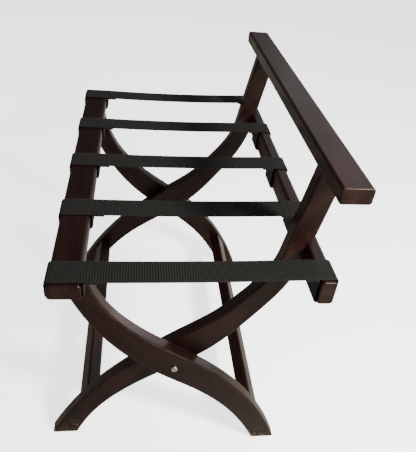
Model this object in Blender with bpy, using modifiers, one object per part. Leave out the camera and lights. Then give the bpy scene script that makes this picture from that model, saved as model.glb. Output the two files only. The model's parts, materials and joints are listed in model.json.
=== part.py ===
"""Folding luggage rack: two crossed wooden frames, a back rail and five webbing straps.

X runs across the seat, Y along the rails and Z up. The floor is z = 0.
The outer frame carries the flat seat rail. The inner frame turns inside it on two
pivot bolts and carries the upright seat rail and the raised back rail.
Profiles are given in millimetres, x from the pivot and z from the floor.
"""
import bmesh
import bpy
import math
from mathutils import Matrix, Vector

MM = 0.001
GAP = 0.3                      # clearance between pieces that touch

# Overall layout
RAIL_LENGTH = 610.0            # both seat rails
BACK_RAIL_LENGTH = 605.0
PIVOT_X = -1.5                 # puts the middle of the rack's box on x = 0
PIVOT_Z = 197.0
LEG_THICKNESS = 22.0
OUTER_LEG_FACE = 252.0         # outer face of an outer leg, from the middle
LEG_SPACING = 4.0              # gap between an outer and an inner leg
INNER_LEG_FACE = OUTER_LEG_FACE - LEG_THICKNESS - LEG_SPACING

# Rail sections: x0, x1, z0, z1
FLAT_RAIL = (-165.5, -124.5, 395.0, 416.5)
EDGE_RAIL = (170.5, 191.5, 384.5, 420.5)
BACK_RAIL = (162.5, 202.0, 536.5, 558.0)
RAIL_EDGE_RADIUS = 4.5
RAIL_END_RADIUS = 1.5

# Stretchers join the legs of a frame near the feet, turned to the slope of the legs
STRETCHER_DEPTH = 28.0
STRETCHER_THICKNESS = 23.0
STRETCHER_SLOPE = 58.0
STRETCHER_X = 135.5
STRETCHER_Z = 77.0
STRETCHER_EDGE_RADIUS = 3.0

# Leg edges: (x, z, heading in degrees) from the first end to the last
HANDLE = 0.38                  # Bezier handle, as a part of the chord
LEG_EDGE_RADIUS = 2.5
LEG_RESOLUTION = 10            # steps between two knots
OUTER_TOP = FLAT_RAIL[2] - GAP
OUTER_LEG_UPPER = ((-127.0, OUTER_TOP, -80.0), (1.0, 228.5, -34.0), (189.0, 0.0, -68.0))
OUTER_LEG_LOWER = ((-165.0, OUTER_TOP, -73.0), (7.0, 163.0, -33.0), (149.0, 0.0, -63.5))
INNER_TOP = BACK_RAIL[2] - GAP
INNER_LEG_UPPER = (
    (-199.0, 0.0, 63.5), (0.0, 230.0, 36.5), (85.5, 302.0, 51.5), (142.0, 400.0, 80.0),
    (166.5, INNER_TOP, 80.0))
INNER_LEG_LOWER = (
    (-157.0, 0.0, 67.0), (-1.0, 166.5, 32.0), (107.0, 268.0, 54.0), (175.5, 400.0, 79.0),
    (201.0, INNER_TOP, 79.0))

# Webbing straps
STRAP_COUNT = 5
STRAP_PITCH = 140.0
STRAP_WIDTH = 40.0
STRAP_THICKNESS = 1.8
STRAP_SAG = 1.0
LOOP_SLACK = 2.2               # play between a loop and the inner side of its rail

# Pivot hardware
BOLT_SHANK = 6.0
BOLT_HEAD = 10.5
BOLT_HEAD_HEIGHT = 3.2
BOLT_SOCKET = 5.0              # across the corners of the hexagon socket
BOLT_SOCKET_DEPTH = 2.0
BOLT_HOLE = 7.0
SPACER_DIAMETER = 20.0
WASHER_DIAMETER = 16.0
WASHER_THICKNESS = 1.4
NUT_ACROSS_CORNERS = 11.5
NUT_HEIGHT = 6.0
BOLT_TIP = 1.5                 # thread that stands out of the nut

# Hidden dowels and the screws of the upright seat rail
DOWEL_DIAMETER = 8.0
DOWEL_LENGTH = 30.0
DOWEL_IN_RAIL = 12.0
DOWEL_IN_LEG = 12.0
DOWEL_SPACING = 14.0
DOWEL_CLEARANCE = 0.4          # on the diameter, and at each end
SCREW_SHANK = 4.5
SCREW_HEAD = 9.0
SCREW_HEAD_HEIGHT = 3.0
SCREW_LENGTH = 40.0
SCREW_Z = 402.0

ROUND_SEGMENTS = 20
DOWEL_SEGMENTS = 12

WOOD_COLOUR = (0.045, 0.018, 0.014)
WEBBING_COLOUR = (0.022, 0.022, 0.021)
STEEL_COLOUR = (0.62, 0.60, 0.56)
DOWEL_COLOUR = (0.55, 0.38, 0.22)


def clear_scene():
    for obj in list(bpy.data.objects):
        bpy.data.objects.remove(obj, do_unlink=True)


def new_collection(name):
    collection = bpy.data.collections.new(name)
    bpy.context.scene.collection.children.link(collection)
    return collection


def new_material(name, colour, roughness, metallic):
    material = bpy.data.materials.new(name)
    material.use_nodes = True
    shader = material.node_tree.nodes["Principled BSDF"]
    shader.inputs["Base Color"].default_value = (*colour, 1.0)
    shader.inputs["Roughness"].default_value = roughness
    shader.inputs["Metallic"].default_value = metallic
    material.diffuse_color = (*colour, 1.0)
    return material


def new_empty(name, location, collection):
    empty = bpy.data.objects.new(name, None)
    empty.location = Vector(location) * MM
    collection.objects.link(empty)
    return empty


def point_on_heading(point, heading, distance):
    angle = math.radians(heading)
    return Vector((point[0] + distance * math.cos(angle), point[1] + distance * math.sin(angle)))


def edge_points(knots):
    """Bezier points along one edge: (left handle, point, right handle), ends left open."""
    points = []
    for i, (x, z, heading) in enumerate(knots):
        here = Vector((x, z))
        left = None
        right = None
        if i > 0:
            chord = (here - Vector(knots[i - 1][:2])).length
            left = point_on_heading(here, heading, -HANDLE * chord)
        if i < len(knots) - 1:
            chord = (Vector(knots[i + 1][:2]) - here).length
            right = point_on_heading(here, heading, HANDLE * chord)
        points.append([left, here, right])
    return points


def leg_outline(upper, lower):
    """Closed outline: along the upper edge, straight across, back along the lower edge."""
    back = [[right, here, left] for left, here, right in reversed(edge_points(lower))]
    points = edge_points(upper) + back
    for i, point in enumerate(points):
        following = points[(i + 1) % len(points)]
        if point[2] is None:
            point[2] = point[1].lerp(following[1], 1 / 3)
        if following[0] is None:
            following[0] = following[1].lerp(point[1], 1 / 3)
    return points


def filleted_outline(corners):
    """Closed outline through (x, z, radius) corners, each rounded by an arc."""
    points = []
    count = len(corners)
    for i in range(count):
        here = Vector(corners[i][:2])
        radius = corners[i][2]
        back = (Vector(corners[i - 1][:2]) - here).normalized()
        ahead = (Vector(corners[(i + 1) % count][:2]) - here).normalized()
        turn = math.pi - back.angle(ahead)
        reach = radius * math.tan(turn / 2)
        handle = radius * math.tan(turn / 4) * 4 / 3
        start = here + back * reach
        end = here + ahead * reach
        points.append([start + back * handle, start, start - back * handle])
        points.append([end - ahead * handle, end, end + ahead * handle])
    for i, point in enumerate(points):
        following = points[(i + 1) % len(points)]
        if i % 2 == 1:
            point[2] = point[1].lerp(following[1], 1 / 3)
            following[0] = following[1].lerp(point[1], 1 / 3)
    return points


def rectangle(x0, x1, z0, z1, radius):
    return filleted_outline(((x0, z0, radius), (x1, z0, radius), (x1, z1, radius), (x0, z1, radius)))


def add_spline(curve, points):
    spline = curve.splines.new("BEZIER")
    spline.bezier_points.add(len(points) - 1)
    spline.use_cyclic_u = True
    for target, (left, here, right) in zip(spline.bezier_points, points):
        target.handle_left_type = "FREE"
        target.handle_right_type = "FREE"
        target.co = (here.x * MM, here.y * MM, 0)
        target.handle_left = (left.x * MM, left.y * MM, 0)
        target.handle_right = (right.x * MM, right.y * MM, 0)


def extrude_profile(name, outlines, y0, y1, resolution):
    """Mesh of a profile in the XZ plane that runs from y0 to y1."""
    curve = bpy.data.curves.new(name + "_profile", "CURVE")
    curve.dimensions = "2D"
    curve.fill_mode = "BOTH"
    curve.resolution_u = resolution
    curve.extrude = (y1 - y0) / 2 * MM
    for outline in outlines:
        add_spline(curve, outline)
    guide = bpy.data.objects.new(name + "_profile", curve)
    bpy.context.scene.collection.objects.link(guide)
    guide.matrix_world = Matrix.Translation((0, (y0 + y1) / 2 * MM, 0)) @ Matrix.Rotation(math.pi / 2, 4, "X")
    bpy.context.view_layer.update()
    evaluated = guide.evaluated_get(bpy.context.evaluated_depsgraph_get())
    mesh = bpy.data.meshes.new_from_object(evaluated)
    mesh.transform(guide.matrix_world)
    bpy.data.objects.remove(guide, do_unlink=True)
    weld(mesh)
    mesh.name = name
    return mesh


def weld(mesh):
    """Close the seams, and merge faces and edges that lie in one plane or line."""
    shape = bmesh.new()
    shape.from_mesh(mesh)
    bmesh.ops.remove_doubles(shape, verts=shape.verts, dist=0.00001)
    bmesh.ops.dissolve_limit(shape, angle_limit=math.radians(0.02), verts=shape.verts, edges=shape.edges)
    bmesh.ops.recalc_face_normals(shape, faces=shape.faces)
    shape.to_mesh(mesh)
    shape.free()


def cylinder_between(shape, start, end, diameter, segments, end_diameter=None):
    """Closed cylinder or cone from start to end, in millimetres, added to a bmesh."""
    start = Vector(start) * MM
    end = Vector(end) * MM
    axis = end - start
    turn = axis.to_track_quat("Z", "Y").to_matrix().to_4x4()
    place = Matrix.Translation((start + end) / 2) @ turn
    top = diameter if end_diameter is None else end_diameter
    bmesh.ops.create_cone(
        shape, cap_ends=True, segments=segments, radius1=diameter / 2 * MM,
        radius2=top / 2 * MM, depth=axis.length, matrix=place)


def box_between(shape, low, high):
    size = Vector(high) - Vector(low)
    middle = (Vector(high) + Vector(low)) / 2
    place = Matrix.Translation(middle * MM) @ Matrix.Diagonal((*(size * MM), 1.0))
    bmesh.ops.create_cube(shape, size=1.0, matrix=place)


def add_object(name, mesh, material, body, collection):
    """Object whose mesh is given in world coordinates, parented to its body's empty."""
    mesh.transform(Matrix.Translation(-body.location))
    mesh.materials.clear()
    mesh.materials.append(material)
    mesh.shade_smooth()
    mesh.set_sharp_from_angle(angle=math.radians(40))
    obj = bpy.data.objects.new(name, mesh)
    obj.parent = body
    collection.objects.link(obj)
    return obj


def mesh_of(name, build):
    shape = bmesh.new()
    build(shape)
    mesh = bpy.data.meshes.new(name)
    shape.to_mesh(mesh)
    shape.free()
    return mesh


def cut(obj, build, cutters):
    """Cut obj with the shapes that build adds to a bmesh, all clear of each other.

    The exact solver leaves open edges where a cutter crosses the eased rims.
    """
    name = obj.name + "_cutter"
    cutter = bpy.data.objects.new(name, mesh_of(name, build))
    cutter.hide_render = True
    cutter.display_type = "WIRE"
    cutters.objects.link(cutter)
    modifier = obj.modifiers.new("Cut", "BOOLEAN")
    modifier.operation = "DIFFERENCE"
    modifier.solver = "MANIFOLD"
    modifier.object = cutter


def ease_edges(obj, radius, segments):
    """Round the rims of the two end faces and the sharp corners between them."""
    bevel = obj.modifiers.new("Eased edges", "BEVEL")
    bevel.width = radius * MM
    bevel.segments = segments
    bevel.limit_method = "ANGLE"
    bevel.angle_limit = math.radians(50)


def pivot_point(y):
    return (PIVOT_X, y, PIVOT_Z)


def world_x(x):
    return PIVOT_X + x


def shifted(outline):
    """Outline moved from pivot coordinates to world x."""
    return [[Vector((world_x(p.x), p.y)) for p in point] for point in outline]


def stretcher_centre(side):
    return (world_x(side * STRETCHER_X), STRETCHER_Z)


def stretcher_outline(side):
    """Rounded rectangle turned to the slope of the legs on that side (+1 or -1)."""
    half_depth = STRETCHER_DEPTH / 2
    half_thickness = STRETCHER_THICKNESS / 2
    flat = rectangle(-half_depth, half_depth, -half_thickness, half_thickness, STRETCHER_EDGE_RADIUS)
    turn = Matrix.Rotation(math.radians(-side * STRETCHER_SLOPE), 2)
    centre = Vector(stretcher_centre(side))
    return [[turn @ p + centre for p in point] for point in flat]


def strap_outlines():
    """Outer outline of a strap and the two holes through which the rails pass."""
    ax0, ax1, az0, az1 = FLAT_RAIL
    bx0, bx1, bz0, bz1 = EDGE_RAIL
    out = GAP + STRAP_THICKNESS
    inner = LOOP_SLACK + STRAP_THICKNESS
    bend = RAIL_EDGE_RADIUS + out
    middle_x = (ax1 + bx0) / 2
    middle_z = (az1 + bz1) / 2 - 2 * STRAP_SAG
    thickness = STRAP_THICKNESS
    outer = (
        (ax0 - out, az1 + out, bend), (ax1, az1 + out, 30), (middle_x, middle_z + out, 1200),
        (bx0, bz1 + out, 30), (bx1 + out, bz1 + out, bend), (bx1 + out, bz0 - out, bend),
        (bx0 - inner, bz0 - out, bend), (bx0 - inner, bz1 + out - thickness - 1.0, 1.0),
        (middle_x, middle_z + out - thickness, 1200),
        (ax1 + inner, az1 + out - thickness - 1.0, 1.0), (ax1 + inner, az0 - out, bend),
        (ax0 - out, az0 - out, bend))
    hole_bend = RAIL_EDGE_RADIUS + GAP
    outlines = [filleted_outline(outer)]
    outlines.append(rectangle(ax0 - GAP, ax1 + LOOP_SLACK, az0 - GAP, az1 + GAP, hole_bend))
    outlines.append(rectangle(bx0 - LOOP_SLACK, bx1 + GAP, bz0 - GAP, bz1 + GAP, hole_bend))
    return [shifted(outline) for outline in outlines]


def rail_outline(section):
    return shifted(rectangle(*section, RAIL_EDGE_RADIUS))


def sides():
    """The two ends of the rack: name and sign of y."""
    return (("front", -1), ("rear", 1))


def leg_span(face, sign):
    """y0 and y1 of a leg whose outer face is at that distance from the middle."""
    inner = face - LEG_THICKNESS
    return (sign * face, sign * inner) if sign < 0 else (sign * inner, sign * face)


def leg_middle(face, sign):
    return sign * (face - LEG_THICKNESS / 2)


def dowels_across(centre_x, z_joint, face, sign, depth_down):
    """Start and end of the two upright dowels of a rail on a leg."""
    y = leg_middle(face, sign)
    pairs = []
    for offset in (-DOWEL_SPACING / 2, DOWEL_SPACING / 2):
        x = world_x(centre_x + offset)
        start = (x, y, z_joint - depth_down + DOWEL_CLEARANCE)
        end = (x, y, z_joint - depth_down + DOWEL_LENGTH - DOWEL_CLEARANCE)
        pairs.append((start, end))
    return pairs


def stretcher_dowels(side, face, sign):
    """Start and end of the two dowels of a stretcher on a leg."""
    centre = Vector(stretcher_centre(side))
    along = point_on_heading((0, 0), -side * STRETCHER_SLOPE, DOWEL_SPACING / 2)
    inner = face - LEG_THICKNESS
    start_y = sign * (inner + DOWEL_IN_LEG - DOWEL_CLEARANCE)
    end_y = sign * (inner + DOWEL_IN_LEG - DOWEL_LENGTH + DOWEL_CLEARANCE)
    pairs = []
    for offset in (-along, along):
        spot = centre + offset
        pairs.append(((spot.x, start_y, spot.y), (spot.x, end_y, spot.y)))
    return pairs


def lengthened(pair, extra):
    start = Vector(pair[0])
    end = Vector(pair[1])
    step = (end - start).normalized() * extra
    return (start - step, end + step)


def dowel_holes(shape, pairs):
    for pair in pairs:
        start, end = lengthened(pair, DOWEL_CLEARANCE)
        cylinder_between(shape, start, end, DOWEL_DIAMETER + DOWEL_CLEARANCE, DOWEL_SEGMENTS)


def screw_axis(sign):
    """Head end and tip of the screw that holds the upright seat rail on a leg."""
    y = leg_middle(INNER_LEG_FACE, sign)
    head = (world_x(EDGE_RAIL[1] - 0.2), y, SCREW_Z)
    tip = (world_x(EDGE_RAIL[1] - SCREW_LENGTH), y, SCREW_Z)
    return Vector(head), Vector(tip)


def screw_hole(shape, sign):
    head, tip = screw_axis(sign)
    across = Vector((1, 0, 0))
    cylinder_between(shape, head + across * 2, tip - across * 0.4, SCREW_SHANK + 0.6, DOWEL_SEGMENTS)


def screw_sink(shape, sign):
    head, _ = screw_axis(sign)
    deep = head - Vector((SCREW_HEAD_HEIGHT + 0.3, 0, 0))
    cylinder_between(shape, deep, head + Vector((2, 0, 0)), SCREW_HEAD + 0.8, ROUND_SEGMENTS)


def build_outer_leg(label, sign, parts):
    name = "outer_leg_" + label
    outline = shifted(leg_outline(OUTER_LEG_UPPER, OUTER_LEG_LOWER))
    y0, y1 = leg_span(OUTER_LEG_FACE, sign)
    mesh = extrude_profile(name, [outline], y0, y1, LEG_RESOLUTION)
    obj = add_object(name, mesh, parts["wood"], parts["outer"], parts["parts"])
    ease_edges(obj, LEG_EDGE_RADIUS, 2)
    upright = flat_rail_dowels(sign)
    across = stretcher_dowels(1, OUTER_LEG_FACE, sign)

    def holes(shape):
        cylinder_between(shape, pivot_point(y0 - 5), pivot_point(y1 + 5), BOLT_HOLE, ROUND_SEGMENTS)
        dowel_holes(shape, upright + across)

    cut(obj, holes, parts["cutters"])


def build_inner_leg(label, sign, parts):
    name = "inner_leg_" + label
    outline = shifted(leg_outline(INNER_LEG_UPPER, INNER_LEG_LOWER))
    y0, y1 = leg_span(INNER_LEG_FACE, sign)
    mesh = extrude_profile(name, [outline], y0, y1, LEG_RESOLUTION)
    obj = add_object(name, mesh, parts["wood"], parts["inner"], parts["parts"])
    ease_edges(obj, LEG_EDGE_RADIUS, 2)
    upright = back_rail_dowels(sign)
    across = stretcher_dowels(-1, INNER_LEG_FACE, sign)
    x0, _, z0, z1 = EDGE_RAIL

    def holes(shape):
        cylinder_between(shape, pivot_point(y0 - 5), pivot_point(y1 + 5), BOLT_HOLE, ROUND_SEGMENTS)
        dowel_holes(shape, upright + across)
        screw_hole(shape, sign)

    def notch(shape):
        low = (world_x(x0 - GAP), y0 - 5, z0 - GAP)
        high = (world_x(x0 + 60), y1 + 5, z1 + GAP)
        box_between(shape, low, high)

    cut(obj, notch, parts["cutters"])
    cut(obj, holes, parts["cutters"])


def flat_rail_dowels(sign):
    middle = (OUTER_LEG_UPPER[0][0] + OUTER_LEG_LOWER[0][0]) / 2
    return dowels_across(middle, FLAT_RAIL[2], OUTER_LEG_FACE, sign, DOWEL_LENGTH - DOWEL_IN_RAIL)


def back_rail_dowels(sign):
    middle = (INNER_LEG_UPPER[-1][0] + INNER_LEG_LOWER[-1][0]) / 2
    return dowels_across(middle, BACK_RAIL[2], INNER_LEG_FACE, sign, DOWEL_LENGTH - DOWEL_IN_RAIL)


def build_rail(name, section, length, body, hole_builder, parts):
    mesh = extrude_profile(name, [rail_outline(section)], -length / 2, length / 2, 4)
    obj = add_object(name, mesh, parts["wood"], body, parts["parts"])
    ease_edges(obj, RAIL_END_RADIUS, 2)
    cut(obj, hole_builder, parts["cutters"])


def flat_rail_holes(shape):
    for _, sign in sides():
        dowel_holes(shape, flat_rail_dowels(sign))


def back_rail_holes(shape):
    for _, sign in sides():
        dowel_holes(shape, back_rail_dowels(sign))


def edge_rail_holes(shape):
    for _, sign in sides():
        screw_hole(shape, sign)


def build_rails(parts):
    build_rail("outer_seat_rail", FLAT_RAIL, RAIL_LENGTH, parts["outer"], flat_rail_holes, parts)
    build_rail("inner_seat_rail", EDGE_RAIL, RAIL_LENGTH, parts["inner"], edge_rail_holes, parts)
    build_rail("back_rail", BACK_RAIL, BACK_RAIL_LENGTH, parts["inner"], back_rail_holes, parts)

    def sinks(shape):
        for _, sign in sides():
            screw_sink(shape, sign)

    cut(parts["parts"].objects["inner_seat_rail"], sinks, parts["cutters"])


def build_stretcher(name, side, face, body, parts):
    end = face - LEG_THICKNESS - GAP
    mesh = extrude_profile(name, [stretcher_outline(side)], -end, end, 3)
    obj = add_object(name, mesh, parts["wood"], body, parts["parts"])

    def holes(shape):
        for _, sign in sides():
            dowel_holes(shape, stretcher_dowels(side, face, sign))

    cut(obj, holes, parts["cutters"])


def build_straps(parts):
    outlines = strap_outlines()
    for i in range(STRAP_COUNT):
        y = (i - (STRAP_COUNT - 1) / 2) * STRAP_PITCH
        name = f"strap_{i + 1}"
        mesh = extrude_profile(name, outlines, y - STRAP_WIDTH / 2, y + STRAP_WIDTH / 2, 3)
        add_object(name, mesh, parts["webbing"], parts["outer"], parts["parts"])


def build_dowels(kind, label, pairs, body, parts):
    for i, (start, end) in enumerate(pairs):
        name = f"{kind}_dowel_{label}_{i + 1}"

        def round_bar(shape):
            cylinder_between(shape, start, end, DOWEL_DIAMETER, DOWEL_SEGMENTS)

        add_object(name, mesh_of(name, round_bar), parts["dowel"], body, parts["parts"])


def turned(name, profile, y, direction, segments, material, parts):
    """Turned piece on the pivot axis: (distance along the axis, radius) profile, open on the axis."""
    shape = bmesh.new()
    previous = None
    for distance, radius in profile:
        vert = shape.verts.new((radius * MM, 0, -distance * MM))
        if previous:
            shape.edges.new((previous, vert))
        previous = vert
    mesh = bpy.data.meshes.new(name)
    shape.to_mesh(mesh)
    shape.free()
    guide = bpy.data.objects.new(name, mesh)
    guide.matrix_world = Matrix.Translation(Vector(pivot_point(y)) * MM) @ Matrix.Rotation(
        -direction * math.pi / 2, 4, "X")
    bpy.context.scene.collection.objects.link(guide)
    screw = guide.modifiers.new("Turn", "SCREW")
    screw.steps = segments
    screw.render_steps = segments
    screw.use_merge_vertices = True
    screw.merge_threshold = 0.00001
    bpy.context.view_layer.update()
    result = bpy.data.meshes.new_from_object(guide.evaluated_get(bpy.context.evaluated_depsgraph_get()))
    result.transform(guide.matrix_world)
    bpy.data.objects.remove(guide, do_unlink=True)
    weld(result)
    result.name = name
    return add_object(name, result, material, parts["outer"], parts["parts"])


def build_pivot(label, sign, parts):
    """Bolt, spacer, washer and nut of one pivot, from the outer face of the outer leg inwards."""
    steel = parts["steel"]
    inner_face = INNER_LEG_FACE - LEG_THICKNESS
    washer_from = inner_face - GAP
    nut_from = washer_from - WASHER_THICKNESS - GAP
    nut_to = nut_from - NUT_HEIGHT
    head_y = sign * (OUTER_LEG_FACE + GAP + BOLT_HEAD_HEIGHT)
    length = BOLT_HEAD_HEIGHT + GAP + OUTER_LEG_FACE - (nut_to - BOLT_TIP)
    dome = BOLT_HEAD_HEIGHT * 0.5
    head_radius = BOLT_HEAD / 2
    shank = BOLT_SHANK / 2
    profile = (
        (0, 0), (0, head_radius - dome), (dome * 0.3, head_radius - dome * 0.3), (dome, head_radius),
        (BOLT_HEAD_HEIGHT, head_radius), (BOLT_HEAD_HEIGHT, shank), (length - 0.6, shank),
        (length, shank - 0.6), (length, 0))
    bolt = turned("pivot_bolt_" + label, profile, head_y, sign, ROUND_SEGMENTS, steel, parts)

    def socket(shape):
        start = pivot_point(head_y + sign * 3)
        end = pivot_point(head_y - sign * BOLT_SOCKET_DEPTH)
        cylinder_between(shape, start, end, BOLT_SOCKET, 6)

    cut(bolt, socket, parts["cutters"])
    spacer = LEG_SPACING - 2 * GAP
    spacer_from = OUTER_LEG_FACE - LEG_THICKNESS - GAP
    build_ring("pivot_spacer_" + label, SPACER_DIAMETER, ROUND_SEGMENTS, sign, spacer_from, spacer, parts)
    build_ring("pivot_washer_" + label, WASHER_DIAMETER, ROUND_SEGMENTS, sign, washer_from,
               WASHER_THICKNESS, parts)
    build_ring("pivot_nut_" + label, NUT_ACROSS_CORNERS, 6, sign, nut_from, NUT_HEIGHT, parts)


def build_ring(name, diameter, segments, sign, outer_y, thickness, parts):
    """Flat ring or nut on the pivot axis, from outer_y towards the middle of the rack."""
    def disc(shape):
        start = pivot_point(sign * outer_y)
        end = pivot_point(sign * (outer_y - thickness))
        cylinder_between(shape, start, end, diameter, segments)

    def bore(shape):
        start = pivot_point(sign * (outer_y + 2))
        end = pivot_point(sign * (outer_y - thickness - 2))
        cylinder_between(shape, start, end, BOLT_SHANK + 2 * GAP, ROUND_SEGMENTS)

    obj = add_object(name, mesh_of(name, disc), parts["steel"], parts["outer"], parts["parts"])
    cut(obj, bore, parts["cutters"])


def build_screw(label, sign, parts):
    name = "seat_rail_screw_" + label
    head, tip = screw_axis(sign)
    neck = head - Vector((SCREW_HEAD_HEIGHT, 0, 0))

    def shank(shape):
        cylinder_between(shape, neck + Vector((0.2, 0, 0)), tip, SCREW_SHANK, DOWEL_SEGMENTS, SCREW_SHANK * 0.5)

    def cone(shape):
        cylinder_between(shape, head, neck, SCREW_HEAD, ROUND_SEGMENTS, SCREW_SHANK)

    obj = add_object(name, mesh_of(name, cone), parts["steel"], parts["inner"], parts["parts"])
    tool = bpy.data.objects.new(name + "_shank", mesh_of(name + "_shank", shank))
    tool.hide_render = True
    tool.display_type = "WIRE"
    parts["cutters"].objects.link(tool)
    union = obj.modifiers.new("Shank", "BOOLEAN")
    union.operation = "UNION"
    union.object = tool


def build_rack():
    clear_scene()
    collection = new_collection("folding_luggage_rack")
    parts = {
        "parts": collection,
        "cutters": new_collection("cutters"),
        "wood": new_material("stained_wood", WOOD_COLOUR, 0.38, 0.0),
        "webbing": new_material("webbing", WEBBING_COLOUR, 0.85, 0.0),
        "steel": new_material("plated_steel", STEEL_COLOUR, 0.3, 1.0),
        "dowel": new_material("dowel_wood", DOWEL_COLOUR, 0.7, 0.0),
        "outer": new_empty("outer_frame", pivot_point(0), collection),
        "inner": new_empty("inner_frame", pivot_point(0), collection),
    }
    for label, sign in sides():
        build_outer_leg(label, sign, parts)
        build_inner_leg(label, sign, parts)
    build_rails(parts)
    build_stretcher("outer_stretcher", 1, OUTER_LEG_FACE, parts["outer"], parts)
    build_stretcher("inner_stretcher", -1, INNER_LEG_FACE, parts["inner"], parts)
    build_straps(parts)
    for label, sign in sides():
        build_pivot(label, sign, parts)
        build_screw(label, sign, parts)
        build_dowels("seat_rail", label, flat_rail_dowels(sign), parts["outer"], parts)
        build_dowels("back_rail", label, back_rail_dowels(sign), parts["inner"], parts)
        build_dowels("outer_stretcher", label, stretcher_dowels(1, OUTER_LEG_FACE, sign), parts["outer"], parts)
        build_dowels("inner_stretcher", label, stretcher_dowels(-1, INNER_LEG_FACE, sign), parts["inner"], parts)
    bpy.context.view_layer.update()


build_rack()
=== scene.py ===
"""Looks of the folding luggage rack: dark stained wood, ribbed webbing straps and
plated bolts, on a pale floor in soft studio light.

Everything is in the CAD frame, in metres: X across the seat, Y along the rails, Z up.
Leg outlines are given in millimetres, x from the pivot and z from the floor.
"""

import bmesh
import bpy
import json
import math
from mathutils import Matrix, Vector, geometry


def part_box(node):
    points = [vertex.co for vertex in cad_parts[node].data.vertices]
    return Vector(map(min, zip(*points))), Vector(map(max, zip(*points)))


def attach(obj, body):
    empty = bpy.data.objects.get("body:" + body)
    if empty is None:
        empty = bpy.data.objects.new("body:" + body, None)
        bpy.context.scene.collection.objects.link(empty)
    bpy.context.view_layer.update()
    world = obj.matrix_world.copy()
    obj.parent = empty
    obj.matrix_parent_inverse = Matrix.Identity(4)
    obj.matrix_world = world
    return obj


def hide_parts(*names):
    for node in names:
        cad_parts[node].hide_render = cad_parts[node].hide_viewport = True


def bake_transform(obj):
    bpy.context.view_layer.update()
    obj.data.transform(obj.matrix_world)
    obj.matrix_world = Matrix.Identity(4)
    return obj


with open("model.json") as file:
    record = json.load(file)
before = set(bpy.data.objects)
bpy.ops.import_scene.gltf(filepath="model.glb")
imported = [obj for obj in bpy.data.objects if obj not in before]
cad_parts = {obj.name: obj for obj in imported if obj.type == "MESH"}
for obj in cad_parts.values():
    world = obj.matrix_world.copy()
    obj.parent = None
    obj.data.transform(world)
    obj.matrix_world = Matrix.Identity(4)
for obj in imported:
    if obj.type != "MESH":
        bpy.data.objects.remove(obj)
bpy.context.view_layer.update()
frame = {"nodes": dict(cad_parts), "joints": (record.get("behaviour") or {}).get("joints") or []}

MM = 0.001
OUTER = "outer_frame"
INNER = "inner_frame"
PIVOT = Vector(frame["joints"][0]["pos_m"])
SIDES = ("front", "rear")
CLEARANCE = 0.3 * MM

# Wood: outline of the legs and how far corners are rounded
HANDLE = 0.38                       # Bezier handle, as a part of the chord
LEG_STEPS = 14                      # sections between two knots
LEG_EDGE = 3.0 * MM
RAIL_EDGE = 4.5 * MM
BACK_RAIL_EDGE = 3.5 * MM
STRETCHER_EDGE = 3.0 * MM
END_EDGE = 1.5 * MM
END_SUPPORT = 4.0 * MM              # last section of a rail before its end
CORNER_STEPS = 4
SHARP_ANGLE = math.radians(50)
RUBBED_ANGLE = math.radians(15)     # edges that turn this much are fully rubbed
FOOT_HEIGHT = 35 * MM               # chips fade out at this height
SUPPORT = 1.4 * MM                  # keeps the flat next to a rounded corner flat
STRETCHER_SLOPE = 58.0
STRETCHER_DEPTH = 28.0 * MM
STRETCHER_THICKNESS = 23.0 * MM
OUTER_TOP = (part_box("outer_seat_rail")[0].z - CLEARANCE) / MM
INNER_TOP = (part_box("back_rail")[0].z - CLEARANCE) / MM
OUTER_LEG_UPPER = ((-127.0, OUTER_TOP, -80.0), (1.0, 228.5, -34.0), (189.0, 0.0, -68.0))
OUTER_LEG_LOWER = ((-165.0, OUTER_TOP, -73.0), (7.0, 163.0, -33.0), (149.0, 0.0, -63.5))
INNER_LEG_UPPER = (
    (-199.0, 0.0, 63.5), (0.0, 230.0, 36.5), (85.5, 302.0, 51.5), (142.0, 400.0, 80.0),
    (166.5, INNER_TOP, 80.0))
INNER_LEG_LOWER = (
    (-157.0, 0.0, 67.0), (-1.0, 166.5, 32.0), (107.0, 268.0, 54.0), (175.5, 400.0, 79.0),
    (201.0, INNER_TOP, 79.0))

# Webbing
STRAPS = [f"strap_{i}" for i in range(1, 6)]
WEB_THICKNESS = 1.7 * MM
RIB_PITCH = 3.3 * MM
RIB_HEIGHT = 0.45 * MM
RIB_STEPS = 4
LOOP_PLAY = 1.6 * MM                # between a loop and the inner side of its rail
OUTER_PLAY = 0.4 * MM               # the same on its outer side
LOOP_BEND = 4.5 * MM
TAIL = 17 * MM                      # length of webbing sewn back under the strap
TAIL_BEND = 1.6 * MM
YARN_PITCH = 1.25 * MM
LANES = (1.0, 0.985, 0.95, 0.80, 0.4, 0.0, -0.4, -0.80, -0.95, -0.985, -1.0)
SPAN_STEPS = 40
STITCH_LENGTH = 3.0 * MM
STITCH_WIDTH = 0.55 * MM
STITCH_MARGIN = 4.0 * MM            # from the first stitches to the edges of the tail
STITCHES_ACROSS = 9
STITCHES_ALONG = 3
SAGS = {"strap_1": 1.6 * MM, "strap_2": 2.0 * MM, "strap_3": 2.2 * MM, "strap_4": 2.6 * MM,
        "strap_5": 3.0 * MM}

# Camera and light
CAMERA_PLACE = (-0.06296, -0.75820, 0.83651)
CAMERA_YAW = 9.93
CAMERA_PITCH = 35.61
CAMERA_ROLL = 6.58
CAMERA_LENS = 44.264
LIGHT_AIM = Vector((0, 0, 0.3))
FLOOR_HALF = 15.0
WORLD_DARK = 0.08                   # strength of the surroundings behind the left side
WORLD_LEFT = 0.20
WORLD_RIGHT = 0.34
WORLD_BELOW = (0.34, 1.05)          # below the horizon, on the left and on the right


# ---------------------------------------------------------------- shader helpers

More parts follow.
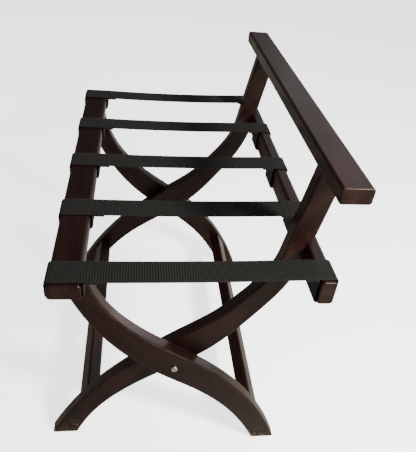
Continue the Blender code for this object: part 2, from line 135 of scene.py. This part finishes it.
class Nodes:
    """Short way to add and link shader nodes in one material."""

    def __init__(self, name):
        self.material = bpy.data.materials.new(name)
        self.material.use_nodes = True
        self.tree = self.material.node_tree
        self.shader = self.tree.nodes["Principled BSDF"]

    def add(self, kind, **settings):
        node = self.tree.nodes.new(kind)
        for key, value in settings.items():
            setattr(node, key, value)
        return node

    def link(self, source, target):
        self.tree.links.new(source, target)

    def put(self, socket, value):
        if isinstance(value, bpy.types.NodeSocket):
            self.link(value, socket)
        else:
            socket.default_value = value

    def math(self, operation, a, b=0.0, clamp=False):
        node = self.add("ShaderNodeMath", operation=operation, use_clamp=clamp)
        self.put(node.inputs[0], a)
        self.put(node.inputs[1], b)
        return node.outputs[0]

    def ramp(self, value, low, high, out_low=0.0, out_high=1.0):
        """Smooth step of value from low to high."""
        node = self.add("ShaderNodeMapRange", interpolation_type="SMOOTHSTEP", clamp=True)
        self.put(node.inputs["Value"], value)
        node.inputs["From Min"].default_value = low
        node.inputs["From Max"].default_value = high
        node.inputs["To Min"].default_value = out_low
        node.inputs["To Max"].default_value = out_high
        return node.outputs["Result"]

    def mix(self, factor, a, b):
        node = self.add("ShaderNodeMix", data_type="RGBA")
        self.put(node.inputs["Factor"], factor)
        for socket, value in ((node.inputs["A"], a), (node.inputs["B"], b)):
            self.put(socket, (*value, 1.0) if isinstance(value, tuple) else value)
        return node.outputs["Result"]

    def noise(self, vector, scale, detail=3.0, roughness=0.5):
        node = self.add("ShaderNodeTexNoise")
        self.link(vector, node.inputs["Vector"])
        node.inputs["Scale"].default_value = scale
        node.inputs["Detail"].default_value = detail
        node.inputs["Roughness"].default_value = roughness
        return node.outputs["Fac"]

    def scaled(self, vector, scale, turn=(0.0, 0.0, 0.0)):
        """vector turned by Euler angles, then scaled."""
        turned = self.add("ShaderNodeVectorRotate", rotation_type="EULER_XYZ")
        self.link(vector, turned.inputs["Vector"])
        turned.inputs["Rotation"].default_value = turn
        node = self.add("ShaderNodeVectorMath", operation="MULTIPLY")
        self.link(turned.outputs["Vector"], node.inputs[0])
        node.inputs[1].default_value = scale
        return node.outputs["Vector"]

    def bump(self, height, distance, strength=1.0, normal=None):
        node = self.add("ShaderNodeBump")
        self.link(height, node.inputs["Height"])
        node.inputs["Distance"].default_value = distance
        node.inputs["Strength"].default_value = strength
        if normal is not None:
            self.link(normal, node.inputs["Normal"])
        return node.outputs["Normal"]

    def set(self, **values):
        for name, value in values.items():
            self.put(self.shader.inputs[name.replace("_", " ")], value)


def stained_wood(name, turn):
    """Mahogany stain under semi-gloss lacquer. turn brings the grain onto X."""
    n = Nodes(name)
    place = n.add("ShaderNodeTexCoord").outputs["Object"]
    along = n.scaled(place, (1.0, 9.0, 9.0), turn)
    fine = n.scaled(place, (1.0, 34.0, 34.0), turn)
    figure = n.noise(along, 9.0, 5.0, 0.6)
    streaks = n.noise(fine, 11.0, 4.0, 0.6)
    pores = n.ramp(n.noise(fine, 38.0, 2.0, 0.5), 0.58, 0.70)
    clouds = n.noise(place, 7.0, 2.0)

    stain = n.mix(n.ramp(figure, 0.36, 0.66), (0.0040, 0.0016, 0.0015), (0.0096, 0.0029, 0.0027))
    streaked = n.math("MULTIPLY", n.ramp(streaks, 0.42, 0.68), 0.35)
    stain = n.mix(streaked, stain, (0.0155, 0.0042, 0.0039))
    stain = n.mix(n.math("MULTIPLY", pores, 0.50), stain, (0.0020, 0.0011, 0.0010))
    stain = n.mix(n.ramp(clouds, 0.45, 0.7, 0.0, 0.3), stain, (0.0044, 0.0017, 0.0016))

    edge = n.add("ShaderNodeAttribute", attribute_name="edge").outputs["Fac"]
    rubbed = n.math("MULTIPLY", edge, n.ramp(n.noise(place, 60.0, 4.0, 0.7), 0.40, 0.66))
    stain = n.mix(n.math("MULTIPLY", rubbed, 0.30), stain, (0.024, 0.0080, 0.0066))
    foot = n.add("ShaderNodeAttribute", attribute_name="foot").outputs["Fac"]
    chips = n.math("MULTIPLY", foot, n.ramp(n.noise(place, 260.0, 2.0, 0.6), 0.635, 0.665))
    stain = n.mix(chips, stain, (0.24, 0.15, 0.10))

    ripple = n.noise(place, 26.0, 3.0)
    rough = n.math("ADD", n.ramp(n.noise(place, 14.0, 4.0, 0.65), 0.3, 0.75, 0.27, 0.40),
                   n.math("MULTIPLY", n.math("MAXIMUM", rubbed, chips), 0.16))
    relief = n.bump(n.math("SUBTRACT", streaks, pores), 0.00012, 0.35)
    relief = n.bump(ripple, 0.0006, 0.22, relief)
    n.set(Base_Color=stain, Roughness=rough, Normal=relief, Coat_Weight=0.07,
          Coat_Roughness=0.12, Specular_IOR_Level=0.20, Specular_Tint=(1.0, 0.90, 0.78, 1.0))
    return n.material


def webbing(name):
    """Black nylon: cross ribs, lengthwise yarns and a plain selvage on both edges, with painted shade
    in the rib valleys and painted highlights on the rib crests and yarn crowns.
    """
    n = Nodes(name)
    weave = n.add("ShaderNodeUVMap", uv_map="weave").outputs["UV"]
    split = n.add("ShaderNodeSeparateXYZ")
    n.link(weave, split.inputs[0])
    along, across = split.outputs["X"], split.outputs["Y"]
    rib = n.math("COSINE", n.math("MULTIPLY", along, 2 * math.pi / RIB_PITCH))
    crest = n.ramp(rib, -0.9, 0.9)
    yarn = n.math("COSINE", n.math("MULTIPLY", across, 2 * math.pi / YARN_PITCH))
    shift = n.math("MULTIPLY", n.math("COSINE", n.math("MULTIPLY", along, math.pi / RIB_PITCH)), 1.2)
    turns = n.math("MULTIPLY", across, 2 * math.pi / YARN_PITCH)
    strand = n.math("COSINE", n.math("ADD", turns, shift))
    place = n.add("ShaderNodeTexCoord").outputs["Object"]
    worn = n.noise(place, 24.0, 4.0, 0.6)
    fuzz = n.noise(place, 900.0, 2.0, 0.6)

    # painted shade in the rib valleys and painted highlight on the rib crests: the colour runs from
    # near black to grey with the rib height
    colour = n.mix(crest, (0.0008, 0.0008, 0.0007), (0.0125, 0.0123, 0.0110))
    # painted highlight on the yarn crowns: lighter where each lengthwise yarn stands highest
    colour = n.mix(n.ramp(strand, -0.6, 0.9, 0.0, 0.30), colour, (0.0125, 0.0124, 0.0112))
    colour = n.mix(n.ramp(worn, 0.45, 0.7, 0.0, 0.30), colour, (0.0070, 0.0066, 0.0058))
    height = n.math("ADD", n.math("MULTIPLY", strand, 0.35), n.math("MULTIPLY", fuzz, 0.5))
    height = n.math("ADD", height, n.math("MULTIPLY", yarn, 0.1))
    rough = n.ramp(fuzz, 0.3, 0.7, 0.74, 0.90)
    n.set(Base_Color=colour, Roughness=rough, Normal=n.bump(height, 0.00016, 0.7),
          Specular_IOR_Level=0.08, Sheen_Weight=0.02, Sheen_Roughness=0.4)
    return n.material


def thread(name):
    """Waxed sewing thread, a little lighter than the webbing."""
    n = Nodes(name)
    place = n.add("ShaderNodeTexCoord").outputs["Object"]
    twist = n.noise(place, 1400.0, 2.0)
    colour = n.mix(twist, (0.0012, 0.0012, 0.0011), (0.0045, 0.0045, 0.0042))
    n.set(Base_Color=colour, Roughness=0.7, Specular_IOR_Level=0.1, Normal=n.bump(twist, 0.0001, 0.5))
    return n.material


def plated_steel(name):
    """Zinc-plated steel with fine turning marks and a slightly yellow tint."""
    n = Nodes(name)
    place = n.add("ShaderNodeTexCoord").outputs["Object"]
    blotch = n.noise(place, 160.0, 3.0)
    scratch = n.noise(n.scaled(place, (1.0, 0.12, 1.0)), 1500.0, 3.0, 0.7)
    colour = n.mix(n.ramp(blotch, 0.35, 0.7), (0.60, 0.57, 0.51), (0.78, 0.75, 0.69))
    rough = n.ramp(scratch, 0.3, 0.75, 0.20, 0.42)
    n.set(Base_Color=colour, Roughness=rough, Metallic=1.0, Normal=n.bump(scratch, 0.00004, 0.5))
    return n.material


def pale_floor(name):
    n = Nodes(name)
    place = n.add("ShaderNodeTexCoord").outputs["Object"]
    tone = n.mix(n.noise(place, 3.0, 3.0), (0.92, 0.92, 0.915), (0.95, 0.95, 0.945))
    n.set(Base_Color=tone, Roughness=0.75, Specular_IOR_Level=0.2,
          Emission_Color=(1.0, 1.0, 1.0, 1.0), Emission_Strength=2.2)
    return n.material


# ---------------------------------------------------------------- mesh helpers

def heading_vector(angle):
    return Vector((math.cos(math.radians(angle)), math.sin(math.radians(angle))))


def edge_curve(knots):
    """Points along one edge of a leg, through (x, z, heading) knots."""
    points = []
    for (x0, z0, turn0), (x1, z1, turn1) in zip(knots, knots[1:]):
        start, end = Vector((x0, z0)), Vector((x1, z1))
        reach = HANDLE * (end - start).length
        points += geometry.interpolate_bezier(
            start, start + reach * heading_vector(turn0), end - reach * heading_vector(turn1), end,
            LEG_STEPS + 1)[:-1]
    return points + [Vector(knots[-1][:2])]


def rounded_ring(width, height, radius):
    """Corners of a rounded rectangle centred on 0, with support points beside each arc."""
    ring = []
    near = radius + SUPPORT
    for quarter, (sx, sy) in enumerate(((1, 1), (-1, 1), (-1, -1), (1, -1))):
        before = Vector((sx * width / 2, sy * (height / 2 - near)))
        after = Vector((sx * (width / 2 - near), sy * height / 2))
        if quarter % 2 == 1:
            before, after = after, before
        centre = Vector((sx * (width / 2 - radius), sy * (height / 2 - radius)))
        arc = []
        for step in range(CORNER_STEPS + 1):
            angle = math.pi / 2 * (quarter + step / CORNER_STEPS)
            arc.append(centre + radius * Vector((math.cos(angle), math.sin(angle))))
        ring += [before, *arc, after]
    return ring


def loft(name, rings):
    """Closed mesh through rings of points, capped at both ends."""
    shape = bmesh.new()
    rows = [[shape.verts.new(point) for point in ring] for ring in rings]
    count = len(rows[0])
    for low, high in zip(rows, rows[1:]):
        for i in range(count):
            j = (i + 1) % count
            shape.faces.new((low[i], low[j], high[j], high[i]))
    shape.faces.new(rows[0])
    shape.faces.new(rows[-1])
    bmesh.ops.recalc_face_normals(shape, faces=shape.faces)
    return to_object(name, shape)


def to_object(name, shape):
    mesh = bpy.data.meshes.new(name)
    shape.to_mesh(mesh)
    shape.free()
    obj = bpy.data.objects.new(name, mesh)
    bpy.context.scene.collection.objects.link(obj)
    return obj


def apply_modifiers(obj):
    bpy.context.view_layer.update()
    evaluated = obj.evaluated_get(bpy.context.evaluated_depsgraph_get())
    mesh = bpy.data.meshes.new_from_object(evaluated)
    obj.modifiers.clear()
    obj.data = mesh


def finish_wood(obj, end_radius):
    """Round the end rims, shade smoothly, and mark corners and feet for the finish."""
    bevel = obj.modifiers.new("Ends", "BEVEL")
    bevel.width = end_radius
    bevel.segments = 3
    bevel.limit_method = "ANGLE"
    bevel.angle_limit = SHARP_ANGLE
    apply_modifiers(obj)
    mesh = obj.data
    mesh.shade_smooth()
    mesh.set_sharp_from_angle(angle=SHARP_ANGLE)
    obj.modifiers.new("Flats", "WEIGHTED_NORMAL").keep_sharp = True
    apply_modifiers(obj)
    mesh = obj.data
    shape = bmesh.new()
    shape.from_mesh(mesh)
    bend = [max([e.calc_face_angle(0.0) for e in v.link_edges], default=0.0) for v in shape.verts]
    shape.free()
    edge = mesh.attributes.new("edge", "FLOAT", "POINT")
    edge.data.foreach_set("value", [min(1.0, b / RUBBED_ANGLE) for b in bend])
    foot = mesh.attributes.new("foot", "FLOAT", "POINT")
    foot.data.foreach_set("value", [max(0.0, 1 - v.co.z / FOOT_HEIGHT) for v in mesh.vertices])


def wooden(obj, node, body, material, end_radius=END_EDGE):
    finish_wood(obj, end_radius)
    obj.data.materials.clear()
    obj.data.materials.append(material)
    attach(obj, body)
    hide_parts(node)
    return obj


def leg(node, upper, lower):
    """Leg lofted between its two curved edges."""
    low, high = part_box(node)
    middle = (low.y + high.y) / 2
    rings = []
    for p, q in zip(edge_curve(lower), edge_curve(upper)):
        p, q = p * MM, q * MM
        centre = (p + q) / 2 + Vector((PIVOT.x, 0))
        across = (q - p).normalized()
        ring = []
        for a, b in rounded_ring((q - p).length, high.y - low.y, LEG_EDGE):
            ring.append((centre.x + across.x * a, middle + b, centre.y + across.y * a))
        rings.append(ring)
    return loft(node + "_wood", rings)


def bar(node, radius, size=None, slope=0.0):
    """Straight rail or stretcher along Y. size is its section when it is turned by slope."""
    low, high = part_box(node)
    middle = (low + high) / 2
    width, height = size or (high.x - low.x, high.z - low.z)
    turn = Matrix.Rotation(math.radians(slope), 2)
    section = [turn @ point for point in rounded_ring(width, height, radius)]
    rings = []
    near, far = low.y + END_SUPPORT, high.y - END_SUPPORT
    for y in (low.y, near, low.y / 2, 0.0, high.y / 2, far, high.y):
        rings.append([(middle.x + p.x, y, middle.z + p.y) for p in section])
    return loft(node + "_wood", rings)


def notch(obj, node):
    """Cut the seat rail's seat out of a leg."""
    low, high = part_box(node)
    low = low - Vector((CLEARANCE, 0, CLEARANCE))
    high = high + Vector((60 * MM, 0, CLEARANCE))
    shape = bmesh.new()
    bmesh.ops.create_cube(shape, size=1.0, matrix=Matrix.Translation((low + high) / 2)
                          @ Matrix.Diagonal((*(high - low), 1.0)))
    cutter = to_object("notch_cutter", shape)
    cut = obj.modifiers.new("Notch", "BOOLEAN")
    cut.operation = "DIFFERENCE"
    cut.solver = "EXACT"
    cut.object = cutter
    apply_modifiers(obj)
    bpy.data.objects.remove(cutter)


# ---------------------------------------------------------------- webbing

def fillet(points, corner, before, after, radius, steps=6):
    """Add an arc round corner to points."""
    back = (before - corner).normalized()
    ahead = (after - corner).normalized()
    half = back.angle(ahead) / 2
    centre = corner + (back + ahead).normalized() * radius / math.sin(half)
    start = corner + back * radius / math.tan(half)
    end = corner + ahead * radius / math.tan(half)
    for i in range(steps + 1):
        points.append(centre + radius * (start - centre).slerp(end - centre, i / steps).normalized())


def strap_path(sag):
    """Middle line of a strap in the XZ plane, from one sewn tail to the other."""
    low_a, high_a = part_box("outer_seat_rail")
    low_b, high_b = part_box("inner_seat_rail")
    lift = CLEARANCE + WEB_THICKNESS / 2 + RIB_HEIGHT / 2
    left, right = high_a.x, low_b.x

    def top(x):
        share = min(1.0, max(0.0, (x - left) / (right - left)))
        return high_a.z + (high_b.z - high_a.z) * share + lift - 4 * sag * share * (1 - share)

    def loop(inner, outer, low_z, high_z, direction):
        """From the tail's end, round the rail, to the top of its outer side."""
        under = 1.08 * (WEB_THICKNESS + RIB_HEIGHT)
        side = inner + direction * (LOOP_PLAY + WEB_THICKNESS / 2)
        edge = outer - direction * (lift + OUTER_PLAY)
        tail = [Vector((side + direction * TAIL * i / 8, 0)) for i in range(8, 0, -1)]
        for point in tail:
            point.y = top(point.x) - under
        corners = [
            tail[-1], Vector((side, top(side) - under)),
            Vector((side, low_z - lift)), Vector((edge, low_z - lift)),
            Vector((edge, high_z + lift)), Vector((inner, high_z + lift))]
        path = list(tail)
        for i, radius in ((1, TAIL_BEND), (2, LOOP_BEND), (3, LOOP_BEND), (4, LOOP_BEND)):
            fillet(path, corners[i], corners[i - 1], corners[i + 1], radius)
        return path

    start = loop(high_a.x, low_a.x, low_a.z, high_a.z, 1)
    end = loop(low_b.x, high_b.x, low_b.z, high_b.z, -1)
    span = []
    for i in range(SPAN_STEPS + 1):
        x = left + (right - left) * i / SPAN_STEPS
        span.append(Vector((x, top(x))))
    return start + span + end[::-1]


def resampled(path, step):
    """Points at equal steps along path, with the distance of each."""
    lengths = [0.0]
    for a, b in zip(path, path[1:]):
        lengths.append(lengths[-1] + (b - a).length)
    count = round(lengths[-1] / step)
    points, k = [], 0
    for i in range(count + 1):
        s = lengths[-1] * i / count
        while k < len(path) - 2 and lengths[k + 1] < s:
            k += 1
        share = (s - lengths[k]) / max(1e-9, lengths[k + 1] - lengths[k])
        points.append((s, path[k].lerp(path[k + 1], share)))
    return points


def normal_at(points, i):
    ahead = points[min(i + 2, len(points) - 1)][1] - points[max(i - 2, 0)][1]
    ahead.normalize()
    return Vector((-ahead.y, ahead.x))


def strap(node, material):
    """Closed ribbon along strap_path, ribbed on both sides and flat at its selvages."""
    low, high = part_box(node)
    middle, half = (low.y + high.y) / 2, (high.y - low.y) / 2
    points = resampled(strap_path(SAGS[node]), RIB_PITCH / RIB_STEPS)
    shape = bmesh.new()
    uv = shape.loops.layers.uv.new("weave")
    rows, places = [], []
    for i, (s, point) in enumerate(points):
        normal = normal_at(points, i)
        crest = 0.5 + 0.5 * math.cos(2 * math.pi * s / RIB_PITCH)
        row, place = [], []
        for side in (1, -1):
            for lane in LANES[:-1] if side == 1 else LANES[:0:-1]:
                edge = 1 - abs(lane)
                full = min(1.0, 0.15 + edge * 22)
                ribbed = min(1.0, edge * 14)
                raised = WEB_THICKNESS / 2 * full + RIB_HEIGHT / 2 * crest * ribbed
                if abs(lane) == 1.0:
                    raised = 0.0
                spot = point + normal * side * raised
                row.append(shape.verts.new((spot.x, middle + half * lane, spot.y)))
                place.append((s, half * lane))
        rows.append(row)
        places.append(place)
    count = len(rows[0])
    for k in range(len(rows) - 1):
        for i in range(count):
            j = (i + 1) % count
            face = shape.faces.new((rows[k][i], rows[k][j], rows[k + 1][j], rows[k + 1][i]))
            spots = (places[k][i], places[k][j], places[k + 1][j], places[k + 1][i])
            for corner, spot in zip(face.loops, spots):
                corner[uv].uv = spot
    for row, place in ((rows[0], places[0]), (rows[-1], places[-1])):
        face = shape.faces.new(row)
        for corner, spot in zip(face.loops, place):
            corner[uv].uv = spot
    bmesh.ops.recalc_face_normals(shape, faces=shape.faces)
    obj = to_object(node + "_webbing", shape)
    obj.data.shade_smooth()
    obj.data.materials.append(material)
    return obj, points, middle, half


def stitch(shape, centre, along, up):
    """One stitch: a small lens-shaped bead."""
    side = along.cross(up)
    place = Matrix((along, side, up)).transposed().to_4x4()
    place.translation = centre
    bmesh.ops.create_uvsphere(
        shape, u_segments=8, v_segments=5, radius=0.5,
        matrix=place @ Matrix.Diagonal((STITCH_LENGTH, STITCH_WIDTH, STITCH_WIDTH * 0.7, 1.0)))


def stitching(node, points, middle, half, material):
    """Box of stitches through each sewn tail, seen on its top and its underside."""
    total = points[-1][0]
    shape = bmesh.new()
    for at_start in (True, False):
        tail = [(s if at_start else total - s, p) for s, p in points]
        ends = []
        for reach in (STITCH_MARGIN, TAIL - 3 * MM):
            nearest = min(tail, key=lambda entry: abs(entry[0] - reach))[1]
            ends.append(Vector((nearest.x, middle, nearest.y)))
        along = (ends[1] - ends[0]).normalized()
        up = Vector((0, 1, 0)).cross(along)
        if up.z < 0:
            up = -up
        layer = WEB_THICKNESS + RIB_HEIGHT
        for level in (-layer * 0.5, layer * 1.58):
            for end in ends:
                for i in range(STITCHES_ACROSS):
                    y = (2 * i / (STITCHES_ACROSS - 1) - 1) * (half - STITCH_MARGIN)
                    centre = end + up * level + Vector((0, y, 0))
                    stitch(shape, centre, Vector((0, 1, 0)), up)
            for sign in (-1, 1):
                for i in range(STITCHES_ALONG):
                    centre = ends[0].lerp(ends[1], (i + 0.5) / STITCHES_ALONG) + up * level
                    centre.y += sign * (half - 0.85 * STITCH_MARGIN)
                    stitch(shape, centre, along, up)
    obj = to_object(node + "_stitching", shape)
    obj.data.shade_smooth()
    obj.data.materials.append(material)
    return obj


# ---------------------------------------------------------------- the rack

wood_along_y = stained_wood("stained_wood_rails", (0.0, 0.0, math.radians(-90)))
wood_outer_leg = stained_wood("stained_wood_outer_legs", (0.0, math.radians(-50), 0.0))
wood_inner_leg = stained_wood("stained_wood_inner_legs", (0.0, math.radians(54), 0.0))
web = webbing("ribbed_webbing")
sewing = thread("sewing_thread")
steel = plated_steel("plated_steel_finish")

for side in SIDES:
    outer_leg = leg("outer_leg_" + side, OUTER_LEG_UPPER, OUTER_LEG_LOWER)
    wooden(outer_leg, "outer_leg_" + side, OUTER, wood_outer_leg)
    inner_leg = leg("inner_leg_" + side, INNER_LEG_UPPER, INNER_LEG_LOWER)
    notch(inner_leg, "inner_seat_rail")
    wooden(inner_leg, "inner_leg_" + side, INNER, wood_inner_leg)

wooden(bar("outer_seat_rail", RAIL_EDGE), "outer_seat_rail", OUTER, wood_along_y)
wooden(bar("inner_seat_rail", RAIL_EDGE), "inner_seat_rail", INNER, wood_along_y)
wooden(bar("back_rail", BACK_RAIL_EDGE), "back_rail", INNER, wood_along_y)
stretcher_section = (STRETCHER_DEPTH, STRETCHER_THICKNESS)
wooden(bar("outer_stretcher", STRETCHER_EDGE, stretcher_section, -STRETCHER_SLOPE),
       "outer_stretcher", OUTER, wood_along_y)
wooden(bar("inner_stretcher", STRETCHER_EDGE, stretcher_section, STRETCHER_SLOPE),
       "inner_stretcher", INNER, wood_along_y)

for node in STRAPS:
    piece, points, middle, half = strap(node, web)
    sewn = stitching(node, points, middle, half, sewing)
    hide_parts(node)
    for part in (piece, sewn):
        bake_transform(part)

for node, obj in frame["nodes"].items():
    if node.startswith(("pivot_", "seat_rail_screw")):
        obj.data.materials.clear()
        obj.data.materials.append(steel)
    elif "dowel" in node:
        obj.data.materials.clear()
        obj.data.materials.append(wood_along_y)


# ---------------------------------------------------------------- studio

def studio_floor():
    shape = bmesh.new()
    bmesh.ops.create_grid(shape, x_segments=4, y_segments=4, size=FLOOR_HALF)
    floor = to_object("floor", shape)
    floor.data.materials.append(pale_floor("pale_floor"))
    floor.visible_glossy = False


def area_light(name, place, size, energy, colour, gloss_only=False):
    """Round soft light that faces the rack."""
    data = bpy.data.lights.new(name, "AREA")
    data.shape = "DISK"
    data.size = size
    data.energy = energy
    data.color = colour
    light = bpy.data.objects.new(name, data)
    bpy.context.scene.collection.objects.link(light)
    light.visible_camera = False
    light.visible_diffuse = not gloss_only
    light.location = place
    light.rotation_euler = (Vector(place) - LIGHT_AIM).to_track_quat("Z", "Y").to_euler()


def soft_world():
    """White surroundings: dark to the upper left, and warmer below the horizon."""
    world = bpy.data.worlds.new("studio")
    world.use_nodes = True
    nodes, links = world.node_tree.nodes, world.node_tree.links
    split = nodes.new("ShaderNodeSeparateXYZ")
    links.new(nodes.new("ShaderNodeTexCoord").outputs["Generated"], split.inputs[0])

    def ramp(axis, start, end, low, high):
        node = nodes.new("ShaderNodeMapRange")
        node.interpolation_type = "SMOOTHSTEP"
        values = (("From Min", start), ("From Max", end), ("To Min", low), ("To Max", high))
        for name, value in values:
            node.inputs[name].default_value = value
        links.new(split.outputs[axis], node.inputs["Value"])
        return node.outputs["Result"]

    def mixed(kind, factor, a, b):
        node = nodes.new("ShaderNodeMix")
        node.data_type = kind
        first = {"FLOAT": 2, "RGBA": 6}[kind]
        links.new(factor, node.inputs["Factor"])
        for socket, value in ((node.inputs[first], a), (node.inputs[first + 1], b)):
            if isinstance(value, tuple):
                socket.default_value = value
            else:
                links.new(value, socket)
        return node.outputs[{"FLOAT": 0, "RGBA": 2}[kind]]

    right = ramp("X", -0.15, 0.55, WORLD_DARK, WORLD_RIGHT)
    above = nodes.new("ShaderNodeMath")
    links.new(right, above.inputs[0])
    links.new(ramp("X", -0.80, -0.25, WORLD_LEFT, 0.0), above.inputs[1])
    height = ramp("Z", -0.25, 0.05, 0.0, 1.0)
    strength = mixed("FLOAT", height, ramp("X", -0.15, 0.45, *WORLD_BELOW), above.outputs[0])
    links.new(strength, nodes["Background"].inputs["Strength"])
    colour = mixed("RGBA", height, (0.96, 0.91, 0.74, 1.0), (1.0, 1.0, 1.0, 1.0))
    links.new(colour, nodes["Background"].inputs["Color"])
    bpy.context.scene.world = world


def photo_camera():
    data = bpy.data.cameras.new("camera")
    data.sensor_fit = "HORIZONTAL"
    data.lens = CAMERA_LENS
    data.clip_start = 0.01
    camera = bpy.data.objects.new("camera", data)
    camera.matrix_world = (
        Matrix.Translation(CAMERA_PLACE)
        @ Matrix.Rotation(math.radians(-CAMERA_YAW), 4, "Z")
        @ Matrix.Rotation(math.radians(90 - CAMERA_PITCH), 4, "X")
        @ Matrix.Rotation(math.radians(CAMERA_ROLL), 4, "Z"))
    bpy.context.scene.collection.objects.link(camera)
    bpy.context.scene.camera = camera


studio_floor()
soft_world()
area_light("key", (0.70, -0.82, 1.04), 0.20, 45, (1.0, 0.97, 0.93))
area_light("fill", (1.00, 0.30, 2.2), 1.8, 44, (1.0, 1.0, 1.0))
# two soft boxes that only the upper faces and the upper edges of the legs mirror
area_light("gloss", (1.10, 1.95, 1.55), 1.1, 1.5, (1.0, 1.0, 1.0), gloss_only=True)
area_light("wall", (1.45, 1.40, 0.35), 0.9, 7.0, (1.0, 0.93, 0.92), gloss_only=True)
photo_camera()
